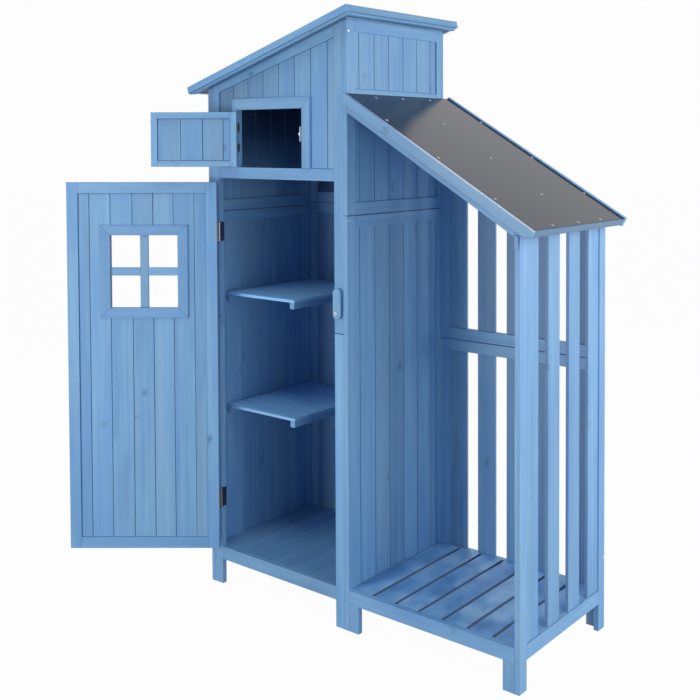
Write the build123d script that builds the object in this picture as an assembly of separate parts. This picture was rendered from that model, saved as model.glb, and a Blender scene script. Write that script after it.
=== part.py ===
from build123d import *
import math
import os

os.makedirs("parts", exist_ok=True)

# Driving dimensions, mm. X runs to the right, Y to the back, Z up; the cabinet's
# front right corner on the ground is the working origin, moved at the end.
cabinet_width = 594
store_width = 583
depth = 456
stock = 16            # thickness of every frame member
stile = 35            # face width of stiles and most rails
board = 8             # thickness of the boards set in the frames
floor_low = 79        # underside of the floor rails
floor_rail = 40
floor_board = 12
front_joint = 860     # where the upper front panel stands on the lower stiles
joint_drop = 567      # the upper wall panels start this far below the roof's high side
left_joint_drop = 10  # and on the left wall this much lower
joint_rail = 37
lintel_drop = 469     # underside of the lintel, measured in the same way
gable_left = 28.5     # face width of the front panel's head rail, at its two ends
gable_right = 38

# Main roof: a plane that falls to the left
roof_pitch = 17.2
roof_under = 1768     # underside of the deck at the cabinet's right face
roof_right = 34       # overhangs, measured level
roof_left = 54
roof_front = 35
roof_back = 35
deck = 12
sheet = 1
trim_height = 21
trim = 15
proud = 7             # height of the trims above the sheet
lath = 8              # height of the lath under the front and right trims
lath_back = 4         # it stands this far behind their faces
lath_nip = 6          # its low corner is cut level, this high

# Log store roof: a plane that falls to the right
store_pitch = 29.8
store_drop = 232      # its deck starts this far below the cabinet's
store_eave = 41.5
store_back = 38
store_rake_height = 27
store_rake_nip = 11   # the front rake's low corner is cut level, this high
store_eave_height = 18.5
store_sheet_inset = 4  # the sheet covers the eave trim up to here
store_proud = 4       # height of the back rake above the sheet; the others end at the deck's top
rake_start = 4        # the front rake starts this far left of the cabinet's side
flashing_strip = 35   # rail of the cabinet's side wall just above this roof
flashing_sink = 7

# Main door
door_gap = 7          # at the hinges
door_play = 13        # at the free side
door_foot_gap = 6
door_head_gap = 12
door_open = 144
hinge_out = 5         # hinge pins stand this far in front of the face
low_hinge = 280       # middle of the lower hinge
high_hinge_drop = 169  # middle of the upper hinge, below the lintel
hinge_length = 60
knuckle_radius = 4
pin_radius = 2
running_gap = 0.05    # between a pin and its bore
knuckle_play = 0.3
leaf_thick = 2
window_width = 276
window_height = 293
window_drop = 135
window_aside = 6      # its middle is this much nearer the hinges than the door's
window_trim = 32
window_proud = 1
muntin = 26

# Hatch over the door
hatch_from_left = 86  # from the left jamb to the opening
hatch_from_right = 127
hatch_height = 178
hatch_trim = 34
hatch_trim_left = 21
hatch_trim_out = 3
lining = 2            # the lining ends this far behind the frame
lining_wide = 10
hatch_stile = 20
hatch_rail = 19
hatch_side_gap = 5
hatch_foot_gap = 2
hatch_head_gap = 7
hatch_open = 147
hatch_pin_out = 3
hatch_hinge_inset = (61, 124)
hatch_hinge = 26
hatch_leaf = 6        # width of its leaves
hatch_knuckle = 3
catch_up = 102        # its middle above the bottom of the opening
catch_length = 44
catch_out = 5         # it stands this far in front of the trim
roller = 5

# Turn button
button_length = 89
button_width = 27
button_thick = 8
button_height = 903
button_pin = 18       # pin above the button's lower end
button_stand = 5      # a washer holds it this far off the stile
washer_radius = 7
screw_radius = 2.5
screw_head = 6        # radius of the flat head
head_thick = 2
screw_play = 0.2

# Shelves
shelf_heights = (562, 928)
shelf_share = 0.545   # part of the inner width that a shelf covers
shelf_front = 56
shelf_thick = 9
batten = 19

# Log store
back_boards = 5
back_board = 66
side_slats = 4
side_slat = 60
slat_thick = 10
store_joint = 785
floor_slats = 7
floor_gap = 9
leg = 36
block_hang = 28       # the corner block on the front post hangs this far below the beam
block_height = 35
block_width = 12
block_out = 5

roof_rise = math.tan(math.radians(roof_pitch))
store_fall = math.tan(math.radians(store_pitch))
store_secant = 1 / math.cos(math.radians(store_pitch))
floor_top = floor_low + floor_rail
wall_joint = roof_under - joint_drop
lintel_low = roof_under - lintel_drop
lintel_top = lintel_low + stile
recess = (stock - board) / 2
store_under = roof_under - store_drop
sheet_top = deck + sheet
trim_top = sheet_top + proud


def block(x0, x1, y0, y1, z0, z1):
    return Pos((x0 + x1) / 2, (y0 + y1) / 2, (z0 + z1) / 2) * Box(x1 - x0, y1 - y0, z1 - z0)


def prism(points, y0, y1):
    """A solid with an outline in X and Z, from y0 to y1."""
    outline = make_face(Polyline(*[(x, y0, z) for x, z in points], close=True))
    return extrude(outline, amount=y1 - y0, dir=(0, 1, 0))


def joined(pieces):
    solid = pieces[0]
    for piece in pieces[1:]:
        solid = solid + piece
    return solid


def roof_z(x):
    return roof_under + roof_rise * x


def store_z(x):
    return store_under - store_fall * x


def level(z):
    return lambda x: z


# A panel is drawn with its outer face on Y = 0 and its width along X; side walls are turned.
def head_foot(width, top, ends):
    """Lower edge of a head rail under the line top(x), from its face widths at both ends."""
    secant = 1 / math.cos(math.atan((top(width) - top(0)) / width))
    first, last = ends
    return lambda x: top(x) - secant * (first + (last - first) * x / width)


def panel_frame(width, low, top, rails, foot=None, face=stile, head=None):
    """Stiles, rails given as (bottom, top) heights, and a head rail under the line top(x)."""
    foot = low if foot is None else foot
    under = head_foot(width, top, head or (face, face))
    inner = width - face
    head_rail = [(face, under(face)), (inner, under(inner)), (inner, top(inner)), (face, top(face))]
    pieces = [
        prism([(0, foot), (face, foot), (face, top(face)), (0, top(0))], 0, stock),
        prism([(inner, foot), (width, foot), (width, top(width)), (inner, top(inner))], 0, stock),
        prism(head_rail, 0, stock),
    ]
    for z0, z1 in rails:
        pieces.append(block(face, inner, 0, stock, z0, z1))
    return joined(pieces)


def panel_boards(width, low, top, face=stile, head=None):
    """One field of boards between the stiles, from a rail's top up to the head rail."""
    under = head_foot(width, top, head or (face, face))
    left, right = face, width - face
    return prism([(left, low), (right, low), (right, under(right)), (left, under(left))], recess, recess + board)


def swing(shape, x, y, degrees):
    return Pos(x, y, 0) * Rot(0, 0, -degrees) * Pos(-x, -y, 0) * shape


nodes = {}
inner_left = -cabinet_width + stock
inner_right = -stock
back_face = depth - stock
back_width = inner_right - inner_left
jamb_left = inner_left + stile
jamb_right = inner_right - stile
reach = cabinet_width + store_width

# Side walls: lower panels stand on the ground, upper ones are bevelled to the roof
above_all = 2 * roof_z(reach)
above_roof = prism(
    [(-reach, roof_z(-reach)), (reach, roof_z(reach)), (reach, above_all), (-reach, above_all)], -depth, 2 * depth)
for side, right_face, joint in (("left", inner_left, wall_joint - left_joint_drop), ("right", 0, wall_joint)):
    turn = Pos(right_face, 0, 0) * Rot(0, 0, 90)
    low_rails = [(floor_low, floor_top)]
    high_top = level(roof_z(right_face))
    high_rails = [(joint, joint + joint_rail)]
    nodes[side + "_wall_lower_frame"] = turn * panel_frame(depth, floor_low, level(joint), low_rails, 0)
    nodes[side + "_wall_lower_boards"] = turn * panel_boards(depth, floor_top, level(joint))
    high_frame = turn * panel_frame(depth, joint, high_top, high_rails) - above_roof
    high_boards = turn * panel_boards(depth, joint + joint_rail, high_top)
    if side == "right":
        strip_low = store_under - flashing_sink
        strip = turn * block(stile, depth - stile, 0, stock, strip_low, strip_low + flashing_strip)
        high_frame = high_frame + strip
        high_boards = high_boards - strip
    nodes[side + "_wall_upper_frame"] = high_frame
    nodes[side + "_wall_upper_boards"] = high_boards


def back_top(x):
    return roof_z(inner_left + x)


# Back wall between the side walls
at_back = Pos(inner_left, back_face, 0)
nodes["back_wall_lower_frame"] = at_back * panel_frame(
    back_width, floor_low, level(wall_joint), [(floor_low, floor_top)], 0)
nodes["back_wall_lower_boards"] = at_back * panel_boards(back_width, floor_top, level(wall_joint))
nodes["back_wall_upper_frame"] = at_back * panel_frame(
    back_width, wall_joint, back_top, [(wall_joint, wall_joint + joint_rail)])
nodes["back_wall_upper_boards"] = at_back * panel_boards(back_width, wall_joint + joint_rail, back_top)

# Front: two lower stiles, then one panel with the lintel, the boards and the hatch opening
nodes["front_stiles"] = joined([
    block(inner_left, jamb_left, 0, stock, 0, front_joint),
    block(jamb_right, inner_right, 0, stock, 0, front_joint),
])
at_front = Pos(inner_left, 0, 0)
gable = (gable_left, gable_right)
nodes["front_upper_frame"] = at_front * panel_frame(
    back_width, front_joint, back_top, [(lintel_low, lintel_top)], head=gable)
hatch_left = jamb_left + hatch_from_left
hatch_right = jamb_right - hatch_from_right
hatch_top = lintel_top + hatch_height
hatch_hole = block(hatch_left, hatch_right, -stock, 2 * stock, lintel_top, hatch_top)
nodes["front_upper_boards"] = at_front * panel_boards(back_width, lintel_top, back_top, head=gable) - hatch_hole

# Mitred trim round the hatch opening, on the boards, and the lining behind them
trim_outline = [
    (hatch_left - hatch_trim_left, lintel_top), (hatch_right + hatch_trim, lintel_top),
    (hatch_right + hatch_trim, hatch_top + hatch_trim), (hatch_left - hatch_trim_left, hatch_top + hatch_trim)]
lining_block = block(hatch_left - lining_wide, hatch_right + lining_wide, recess + board, stock + lining,
                     lintel_top, hatch_top + lining_wide)
nodes["hatch_surround"] = joined([prism(trim_outline, -hatch_trim_out, recess), lining_block]) - hatch_hole

# Floor of the cabinet: a frame of rails with boards flush with its top
under_boards = floor_top - floor_board
nodes["cabinet_floor"] = joined([
    block(jamb_left, jamb_right, 0, stock, floor_low, floor_top),
    block(inner_left, inner_right, stock, 2 * stock, floor_low, under_boards),
    block(inner_left, inner_right, back_face - stock, back_face, floor_low, under_boards),
    block(inner_left, inner_left + stock, 2 * stock, back_face - stock, floor_low, under_boards),
    block(inner_right - stock, inner_right, 2 * stock, back_face - stock, floor_low, under_boards),
    block(inner_left, inner_right, stock, back_face, under_boards, floor_top),
])

# Two shelves held off the left wall, each with a batten under both side edges
shelf_right = inner_left + shelf_share * back_width
for name, top in zip(("lower", "upper"), shelf_heights):
    under = top - shelf_thick
    nodes["shelf_" + name] = joined([
        block(inner_left, shelf_right, shelf_front, back_face, under, top),
        block(shelf_right - batten, shelf_right, shelf_front, back_face, under - batten, under),
        block(inner_left, inner_left + batten, shelf_front, back_face, under - batten, under),
    ])


# Roofs: profiles across the slope, drawn on a line and its height above the underside
def on_slope(x, rise, line, pitch):
    """A point `rise` square off the underside line, above its foot at x."""
    angle = math.radians(pitch)
    return (x - rise * math.sin(angle), line(x) + rise * math.cos(angle))


def slope_strip(x0, x1, low, high, line, pitch):
    """Outline between two heights square off the slope, cut square at both ends."""
    return [on_slope(x0, low, line, pitch), on_slope(x1, low, line, pitch),
            on_slope(x1, high, line, pitch), on_slope(x0, high, line, pitch)]


roof_low_x = -cabinet_width - roof_left
roof_high_x = roof_right
roof_y0 = -roof_front
roof_y1 = depth + roof_back
deck_left, deck_right = roof_low_x + trim, roof_high_x - trim
nodes["main_roof_deck"] = prism(
    slope_strip(deck_left, deck_right, 0, deck, roof_z, roof_pitch), roof_y0 + trim, roof_y1 - trim)
nodes["main_roof_sheet"] = prism(
    slope_strip(deck_left, deck_right, deck, sheet_top, roof_z, roof_pitch), roof_y0 + trim, roof_y1 - trim)

# Trims stand round the deck; the front and right ones have a lath under them
trim_low = trim_top - trim_height
lath_low = trim_low - lath
lath_right = roof_high_x - lath_back
nip_x = lath_nip * math.cos(math.radians(roof_pitch)) / roof_rise
rake = slope_strip(roof_low_x, roof_high_x, trim_low, trim_top, roof_z, roof_pitch)
fascia = slope_strip(roof_high_x - trim, roof_high_x, trim_low, trim_top, roof_z, roof_pitch)
eave = slope_strip(roof_low_x, roof_low_x + trim, trim_low, trim_top, roof_z, roof_pitch)
front_lath = [on_slope(roof_low_x, lath_low + lath_nip, roof_z, roof_pitch),
              on_slope(roof_low_x + nip_x, lath_low, roof_z, roof_pitch)]
front_lath = front_lath + slope_strip(roof_low_x, lath_right, lath_low, trim_low, roof_z, roof_pitch)[1:]
right_lath = slope_strip(roof_high_x - trim, lath_right, lath_low, trim_low, roof_z, roof_pitch)
nodes["main_roof_trim"] = joined([
    prism(rake, roof_y0, roof_y0 + trim),
    prism(rake, roof_y1 - trim, roof_y1),
    prism(fascia, roof_y0 + trim, roof_y1 - trim),
    prism(eave, roof_y0 + trim, roof_y1 - trim),
    prism(front_lath, roof_y0 + lath_back, roof_y0 + trim),
    prism(right_lath, roof_y0 + trim, roof_y1 - trim),
])


def store_strip(x0, x1, low, high, nip=0):
    """Like slope_strip on the log store's roof, but cut upright at its upper end and level below."""
    inward = nip * math.cos(math.radians(store_pitch)) / store_fall
    foot = [on_slope(x1 - inward, low, store_z, -store_pitch)] if nip else []
    return [(x0, store_z(x0) + low * store_secant)] + foot + [
        on_slope(x1, low + nip, store_z, -store_pitch), on_slope(x1, high, store_z, -store_pitch),
        (x0, store_z(x0) + high * store_secant)]


store_low_x = store_width + store_eave
store_y1 = depth + store_back
store_deck_x = store_low_x - trim
nodes["store_roof_deck"] = prism(store_strip(0, store_deck_x, 0, deck), 0, store_y1 - trim)
nodes["store_roof_sheet"] = prism(
    store_strip(0, store_low_x - store_sheet_inset, deck, sheet_top), 0, store_y1 - trim)
store_drip = slope_strip(store_deck_x, store_low_x, deck - store_eave_height, deck, store_z, -store_pitch)
back_rake_top = sheet_top + store_proud
nodes["store_roof_trim"] = joined([
    prism(store_strip(-rake_start, store_low_x, deck - store_rake_height, deck, store_rake_nip), -trim, 0),
    prism(store_strip(0, store_low_x, back_rake_top - store_rake_height, back_rake_top), store_y1 - trim, store_y1),
    prism(store_drip, 0, store_y1 - trim),
])

# Log store: side panel, back panels, front beam and slatted floor
store_inner = store_width - stock
side_inner = depth - 2 * stile
side_top = store_z(store_inner)
above_it = 2 * store_z(-reach)
above_store = prism(
    [(-reach, store_z(-reach)), (-reach, above_it), (reach, above_it), (reach, store_z(reach))], -depth, 2 * depth)


def spread(count, width, span):
    """Left edges of boards of one width, spaced evenly from edge to edge of a span."""
    step = (span - width) / (count - 1)
    return [step * i for i in range(count)]


# The side panel's front post carries the corner block, just outside the beam's end
drop = stile * store_secant
block_left = store_inner + recess / 4
block_low = store_z(block_left) - drop - block_hang
corner_block = block(block_left, block_left + block_width, -block_out, 0, block_low, block_low + block_height)
at_side = Pos(store_width, 0, 0) * Rot(0, 0, 90)
side_frame = at_side * panel_frame(depth, floor_low, level(side_top), [(floor_low, floor_top)], 0) - above_store
nodes["store_side_frame"] = side_frame + corner_block
slat_y = (stock - slat_thick) / 2
slats = [block(stile + y, stile + y + side_slat, slat_y, slat_y + slat_thick, floor_top, side_top - stile)
         for y in spread(side_slats, side_slat, side_inner)]
nodes["store_side_slats"] = at_side * joined(slats)

back_inner = store_inner - 2 * stile
at_store_back = Pos(0, back_face, 0)
nodes["store_back_lower_frame"] = at_store_back * panel_frame(
    store_inner, floor_low, level(store_joint), [(floor_low, floor_top)], 0)
nodes["store_back_upper_frame"] = at_store_back * panel_frame(
    store_inner, store_joint, store_z, [(store_joint, store_joint + joint_rail)])
lower_boards = []
upper_boards = []
for x in spread(back_boards, back_board, back_inner):
    x0, x1 = stile + x, stile + x + back_board
    lower_boards.append(block(x0, x1, recess, recess + board, floor_top, store_joint - stile))
    upper_boards.append(prism(
        [(x0, store_joint + joint_rail), (x1, store_joint + joint_rail), (x1, store_z(x1) - drop),
         (x0, store_z(x0) - drop)], recess, recess + board))
nodes["store_back_lower_boards"] = at_store_back * joined(lower_boards)
nodes["store_back_upper_boards"] = at_store_back * joined(upper_boards)

nodes["store_front_beam"] = prism(
    [(0, store_z(0) - drop), (store_inner, store_z(store_inner) - drop), (store_inner, store_z(store_inner)),
     (0, store_z(0))], 0, stock)

under_slats = floor_top - slat_thick
nodes["store_floor_frame"] = joined([
    block(0, store_inner, 0, stock, floor_low, floor_top),
    block(0, leg, 0, stock, 0, floor_low),
    block(store_inner - leg, store_inner, 0, stock, 0, floor_low),
    block(0, stock, stock, back_face, floor_low, under_slats),
    block(store_inner - stock, store_inner, stock, back_face, floor_low, under_slats),
    block(stock, store_inner - stock, back_face - 2 * stock, back_face - stock, floor_low, under_slats),
])
slat_wide = (store_inner - (floor_slats - 1) * floor_gap) / floor_slats
nodes["store_floor_slats"] = joined([
    block(x, x + slat_wide, stock, back_face, under_slats, floor_top)
    for x in spread(floor_slats, slat_wide, store_inner)])

# Main door, drawn closed and then swung open about its hinge pins, which stand in the middle of the gap
pin_x = jamb_left + door_gap / 2
pin_y = -hinge_out
door_left = jamb_left + door_gap
door_right = jamb_right - door_play
door_low = floor_top + door_foot_gap
door_high = lintel_low - door_head_gap
door_width = door_right - door_left
at_door = Pos(door_left, 0, 0)
window_left = door_left + (door_width - window_width) / 2 - window_aside
window_right = window_left + window_width
window_top = door_high - window_drop
window_low = window_top - window_height
pane_left, pane_right = window_left + window_trim, window_right - window_trim
pane_low, pane_top = window_low + window_trim, window_top - window_trim
pane = block(pane_left, pane_right, -stock, 2 * stock, pane_low, pane_top)
door_frame = at_door * panel_frame(door_width, door_low, level(door_high), [(door_low, door_low + stile)])
door_boards = at_door * panel_boards(door_width, door_low + stile, level(door_high)) - pane


def window_ring(y0, y1):
    return block(window_left, window_right, y0, y1, window_low, window_top) - pane


middle_x = (window_left + window_right) / 2
middle_z = (window_low + window_top) / 2
cross = joined([
    block(middle_x - muntin / 2, middle_x + muntin / 2, recess, recess + board, pane_low, pane_top),
    block(pane_left, pane_right, recess, recess + board, middle_z - muntin / 2, middle_z + muntin / 2),
])
window = joined([window_ring(-window_proud, recess), window_ring(recess + board, stock + window_proud), cross])
nodes["door_frame"] = swing(door_frame, pin_x, pin_y, door_open)
nodes["door_boards"] = swing(door_boards, pin_x, pin_y, door_open)
nodes["door_window"] = swing(window, pin_x, pin_y, door_open)

# Butt hinges: the wall leaf carries the pin and the outer knuckles, the door leaf the middle one
third = hinge_length / 3
leaf_depth = hinge_out + stock
slot = Cylinder(knuckle_radius + knuckle_play, third + 2 * knuckle_play)
hinge_fixed = []
hinge_moving = []
for height in (low_hinge, lintel_low - high_hinge_drop):
    at_hinge = Pos(pin_x, pin_y, height)
    wall_leaf = Pos(-door_gap / 2, 0, 0) * Box(
        leaf_thick, leaf_depth, hinge_length, align=(Align.MIN, Align.MIN, Align.CENTER))
    barrel = Cylinder(knuckle_radius, hinge_length) - slot + Cylinder(pin_radius, hinge_length)
    hinge_fixed.append(at_hinge * (wall_leaf - slot + barrel))
    door_leaf = Pos(door_gap / 2, 0, 0) * Box(
        leaf_thick, leaf_depth, hinge_length, align=(Align.MAX, Align.MIN, Align.CENTER))
    clear_of_pins = Cylinder(knuckle_radius + knuckle_play, hinge_length)
    tab = Pos(door_gap / 2, 0, 0) * Box(
        leaf_thick, 2 * knuckle_radius, third, align=(Align.MAX, Align.MIN, Align.CENTER))
    bore = Cylinder(pin_radius + running_gap, hinge_length)
    moving = door_leaf - clear_of_pins + tab + Cylinder(knuckle_radius, third) - bore
    hinge_moving.append(swing(at_hinge * moving, pin_x, pin_y, door_open))
nodes["door_hinge_pins"] = joined(hinge_fixed)
nodes["door_hinge_leaves"] = joined(hinge_moving)

# Hatch door, fixed open, with its two hinges closed up round the pin
hatch_pin_x = hatch_left + hatch_side_gap
hatch_pin_y = -hatch_pin_out
leaf_left = hatch_left + hatch_side_gap
leaf_wide = hatch_right - hatch_side_gap - leaf_left
hatch_low = lintel_top + hatch_foot_gap
hatch_high = hatch_top - hatch_head_gap
hatch_closed = Pos(leaf_left, 0, 0) * joined([
    panel_frame(leaf_wide, hatch_low, level(hatch_high), [(hatch_low, hatch_low + hatch_rail)], face=hatch_stile),
    panel_boards(leaf_wide, hatch_low + hatch_rail, level(hatch_high), hatch_stile),
])
nodes["hatch_door"] = swing(hatch_closed, hatch_pin_x, hatch_pin_y, hatch_open)
hatch_hinges = []
for up in hatch_hinge_inset:
    at_hinge = Pos(hatch_pin_x, hatch_pin_y, lintel_top + up)
    wall_leaf = Pos(-hatch_side_gap, 0, 0) * Box(
        hatch_side_gap / 2, hatch_pin_out + hatch_leaf, hatch_hinge, align=(Align.MIN, Align.MIN, Align.CENTER))
    plate = Pos(0, hatch_pin_out, 0) * Box(
        hatch_side_gap / 2, hatch_leaf, hatch_hinge, align=(Align.MAX, Align.MIN, Align.CENTER))
    hatch_hinges.append(at_hinge * (wall_leaf + Cylinder(hatch_knuckle, hatch_hinge)))
    web = Box(hatch_side_gap / 2, hatch_pin_out, hatch_hinge, align=(Align.MAX, Align.MIN, Align.CENTER))
    hatch_hinges.append(swing(at_hinge * (plate + web), hatch_pin_x, hatch_pin_y, hatch_open))
nodes["hatch_hinges"] = joined(hatch_hinges)

# Roller catch on the far side of the hatch opening: a plate on the reveal and one roller on it
catch_height = lintel_top + catch_up
catch_front = -hatch_trim_out - catch_out
catch_plate = block(hatch_right - leaf_thick, hatch_right, catch_front, stock,
                    catch_height - catch_length / 2, catch_height + catch_length / 2)
catch_roller = Pos(hatch_right - leaf_thick, catch_front, catch_height) * Rot(-90, 0, 0) * Cylinder(
    roller, stock, align=(Align.CENTER, Align.CENTER, Align.MIN))
outside = block(hatch_right, hatch_right + roller, catch_front, stock, lintel_top, hatch_top)
nodes["hatch_catch"] = catch_plate + catch_roller - outside

# Turn button on the right front stile, on a screw and a washer
button_x = (jamb_right + inner_right) / 2
straight = button_length - button_width
ends = straight / 2
button_face = (
    Rectangle(button_width, straight) + Pos(0, ends) * Circle(button_width / 2) + Pos(0, -ends) * Circle(button_width / 2)
    - Pos(0, button_pin - button_length / 2) * Circle(screw_radius + running_gap))
button_body = extrude(button_face, amount=button_thick)
nodes["turn_button"] = Pos(button_x, -button_stand, button_height + button_length / 2) * Rot(90, 0, 0) * button_body
shank = button_stand + button_thick + screw_play
upward = (Align.CENTER, Align.CENTER, Align.MIN)
screw = joined([
    Cylinder(washer_radius, button_stand - screw_play, align=upward),
    Cylinder(screw_radius, shank, align=upward),
    Pos(0, 0, shank) * Cylinder(screw_head, head_thick, align=upward),
])
nodes["turn_button_screw"] = Pos(button_x, 0, button_height + button_pin) * Rot(90, 0, 0) * screw

# The finished origin is the middle of the whole outline in plan, on the ground
boxes = [shape.bounding_box() for shape in nodes.values()]
low_x = min(box.min.X for box in boxes)
high_x = max(box.max.X for box in boxes)
low_y = min(box.min.Y for box in boxes)
high_y = max(box.max.Y for box in boxes)
shift = Pos(-(low_x + high_x) / 2, -(low_y + high_y) / 2, 0)
for name, shape in nodes.items():
    export_step(shift * shape, "parts/" + name + ".step")

print("nodes", len(nodes))
print("size", high_x - low_x, high_y - low_y, max(box.max.Z for box in boxes))
print("shift", -(low_x + high_x) / 2, -(low_y + high_y) / 2)
print("door pin", (shift * Pos(pin_x, pin_y, 0)).position)
print("button pin", (shift * Pos(button_x, 0, button_height + button_pin)).position)
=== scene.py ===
import bmesh
import bpy
import math
import random
from mathutils import Matrix, Vector


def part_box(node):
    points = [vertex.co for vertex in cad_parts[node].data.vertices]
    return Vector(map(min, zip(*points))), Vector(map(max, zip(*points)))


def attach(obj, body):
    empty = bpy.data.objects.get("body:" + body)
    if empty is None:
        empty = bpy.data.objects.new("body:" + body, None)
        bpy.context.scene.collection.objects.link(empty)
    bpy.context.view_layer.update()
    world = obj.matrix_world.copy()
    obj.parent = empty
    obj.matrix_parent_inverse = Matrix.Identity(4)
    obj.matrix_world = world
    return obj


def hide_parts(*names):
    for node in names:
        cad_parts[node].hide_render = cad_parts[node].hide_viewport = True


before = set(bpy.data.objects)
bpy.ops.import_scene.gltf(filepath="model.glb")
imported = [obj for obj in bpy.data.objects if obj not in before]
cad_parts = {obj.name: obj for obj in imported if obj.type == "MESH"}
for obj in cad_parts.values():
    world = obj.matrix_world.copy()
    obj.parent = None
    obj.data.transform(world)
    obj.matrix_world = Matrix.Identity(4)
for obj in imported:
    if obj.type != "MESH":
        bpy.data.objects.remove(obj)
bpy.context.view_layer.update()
dice = random.Random(12)
print("cad frame loaded")

# every length is in mm, counted from the cabinet's front right corner on the ground
wallLow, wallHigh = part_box("right_wall_lower_frame")
toRow = Matrix.Translation((wallHigh[0], wallLow[1], 0)) @ Matrix.Scale(0.001, 4)

shed = {
    "cabinetWidth": 594, "storeWidth": 583, "depth": 456,
    "stock": 16, "stile": 35, "board": 8,
    "floorLow": 79, "floorTop": 119, "frontJoint": 860, "wallJoint": 1201, "leftJoint": 1191,
    "jointRail": 37, "jointGap": 1.1,
    "lintelLow": 1299, "gable": (28.5, 38),
    "roofUnder": 1768, "roofPitch": 17.2, "storeUnder": 1536, "storePitch": 29.8,
}
stock = shed["stock"]
stile = shed["stile"]
depth = shed["depth"]
floorLow, floorTop = shed["floorLow"], shed["floorTop"]
recess = (stock - shed["board"]) / 2
innerLeft = -shed["cabinetWidth"] + stock
innerRight = -stock
backWidth = innerRight - innerLeft
jambLeft = innerLeft + stile
jambRight = innerRight - stile
backFace = depth - stock
lintelTop = shed["lintelLow"] + stile
crack = shed["jointGap"]
roofRise = math.tan(math.radians(shed["roofPitch"]))
storeFall = math.tan(math.radians(shed["storePitch"]))


def roofZ(x):
    return shed["roofUnder"] + roofRise * x


def storeZ(x):
    return shed["storeUnder"] - storeFall * x


def turned(x, y, z, degrees, axis="Z"):
    return Matrix.Translation((x, y, z)) @ Matrix.Rotation(math.radians(degrees), 4, axis)


def swung(x, y, degrees):
    return turned(x, y, 0, -degrees) @ Matrix.Translation((-x, -y, 0))


here = Matrix()
flat = turned(0, 0, 0, -90, "X")    # boards that lie flat: u is X, v is Y, the depth is -Z
across = turned(0, 0, 0, 90)        # boards that run along Y: u is Y, the depth is -X

# the wood: its colours, then each noise as its scale along, through and across the grain
# with its detail, then the stops (place, amount) where a colour comes in
stain = {
    "colour": (0.141, 0.332, 0.592), "pale": (0.198, 0.408, 0.650),
    "deep": (0.097, 0.260, 0.515), "bluer": (0.118, 0.290, 0.600),
    "warm": (0.195, 0.352, 0.525), "seam": (0.032, 0.095, 0.235),
    "knot": (0.070, 0.165, 0.290), "paintedShadeDark": (0.004, 0.008, 0.018),
    "worn": (0.270, 0.470, 0.670), "damp": (0.066, 0.195, 0.430),
    "roughness": 0.5, "shine": 0.6, "grainBump": 0.12, "ringBump": 0.5, "bumpDepth": 0.001,
    "level": 0.90, "toneStep": 0.07, "fibreStep": 0.20, "seamDepth": 0.9, "mottle": 0.8,
}
grainNoise = {
    "fibres": (4, 260, 260, 5), "streaks": (1.6, 70, 70, 4), "clouds": (3, 14, 14, 3),
    "tint": (1.1, 9, 9, 1), "blotches": (8, 11, 11, 2), "smear": (30, 60, 60, 2),
}
grainStops = {
    "pale": ((0.30, 0), (0.72, 1)), "rings": ((0.25, 0), (0.95, 1)),
    "deep": ((0.42, 0), (0.80, 0.75)), "bluer": ((0.52, 0), (0.72, 0.60)),
    "warm": ((0.28, 0.45), (0.46, 0)), "knot": ((0.0, 1), (0.035, 0.6), (0.13, 0)),
}
growthRings = {"stretch": (0.5, 12, 12), "scale": 6, "bend": 7, "detail": 2, "detailScale": 1.2,
               "amount": 0.36}
# bare is the share of the cells that have no knot
knotCells = {"stretch": (6.5, 0.01, 10), "bare": 0.18, "ragged": 0.34, "amount": 0.72}
mottling = {"worn": (0.48, 0.68), "damp": (0.32, 0.50)}

# the metals: colour, roughness, depth of the dents and how close together they are
metals = {
    "grey roof sheet": ((0.046, 0.049, 0.068), 0.17, 0.02, 4),
    "hinge metal": ((0.19, 0.19, 0.21), 0.12, 0.04, 300),
    "dark hinge metal": ((0.16, 0.17, 0.19), 0.35, 0.04, 300),
    "roof screw metal": ((0.36, 0.39, 0.44), 0.35, 0.05, 300),
    "bright screw metal": ((0.66, 0.66, 0.68), 0.28, 0.05, 300),
    "edge strip metal": ((0.50, 0.60, 0.74), 0.28, 0.05, 300),
}
metalCloud = {"dimmed": 0.86, "detail": 4, "duller": 0.08, "bumpDepth": 0.001}


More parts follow.
